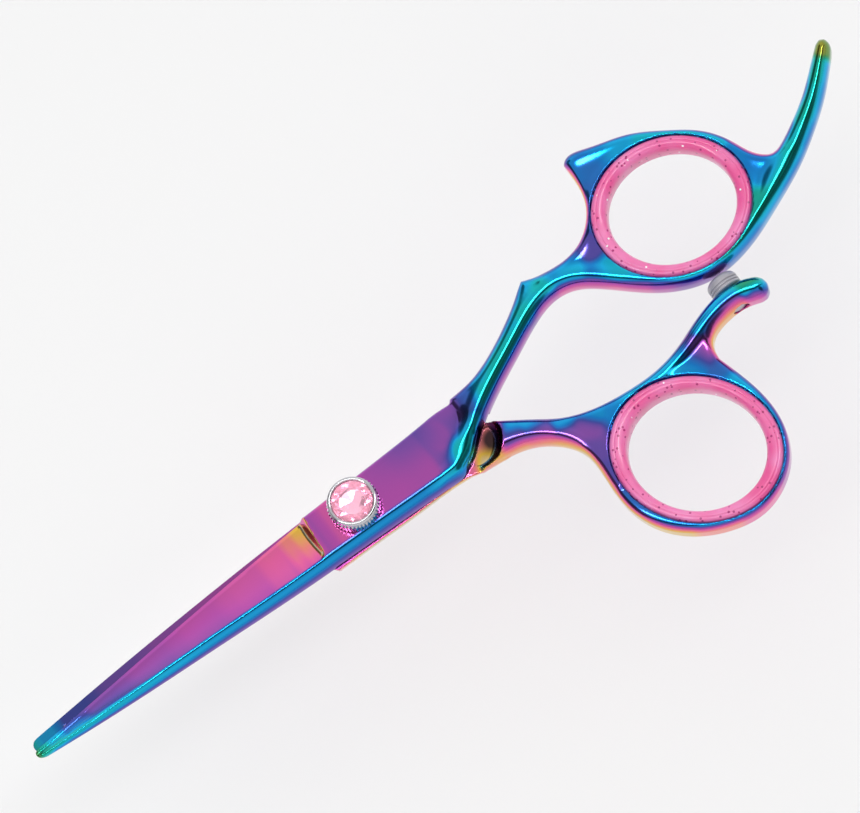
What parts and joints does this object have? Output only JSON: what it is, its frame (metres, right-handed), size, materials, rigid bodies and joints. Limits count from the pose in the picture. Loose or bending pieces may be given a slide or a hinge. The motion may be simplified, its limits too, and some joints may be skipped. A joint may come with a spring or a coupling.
{
  "type": "thinning shears",
  "caption": "Offset-handle hair shears: plain blade over a toothed blade on a dial-tensioned pivot, oval rings with soft inserts, pointed fin, finger rest and bumper.",
  "frame": {"origin": "on the pivot axis, in the plane of the flat back that the closed shears lie on", "axes": "+X from the pivot to the handles, +Y towards the finger ring, +Z out of the front, through the tension dial"},
  "size_m": [0.165, 0.0654, 0.0103],
  "materials": {
    "rainbow_steel": "mirror polish with a rainbow titanium coating",
    "pink_silicone": "translucent, satin, with glitter flecks",
    "grey_rubber": "translucent satin",
    "plain_steel": "satin",
    "bright_steel": "polished",
    "white_plastic": "matte",
    "pink_crystal": "faceted, clear pink"
  },
  "bodies": {
    "thumb_half": {"thumb_blade": "rainbow_steel", "thumb_ring_insert": "pink_silicone", "bumper": "grey_rubber", "bumper_stud": "plain_steel", "pivot_screw": "bright_steel", "ride_washer": "white_plastic", "spring_washer": "plain_steel", "click_plate": "plain_steel"},
    "finger_half": {"finger_blade": "rainbow_steel", "finger_ring_insert": "pink_silicone", "pivot_bushing": "white_plastic"},
    "tension_dial": {"dial_nut": "bright_steel", "crystal_bezel": "bright_steel", "crystal": "pink_crystal"}
  },
  "joints": [
    {"name": "blade_pivot", "type": "hinge", "parent": "thumb_half", "child": "finger_half", "pos_m": [0, 0, 0.0028], "axis": [0, 0, 1], "range_deg": [0, 120]},
    {"name": "dial_turn", "type": "hinge", "parent": "thumb_half", "child": "tension_dial", "pos_m": [0, 0, 0.0072], "axis": [0, 0, 1], "range_deg": [-90, 90]}
  ]
}
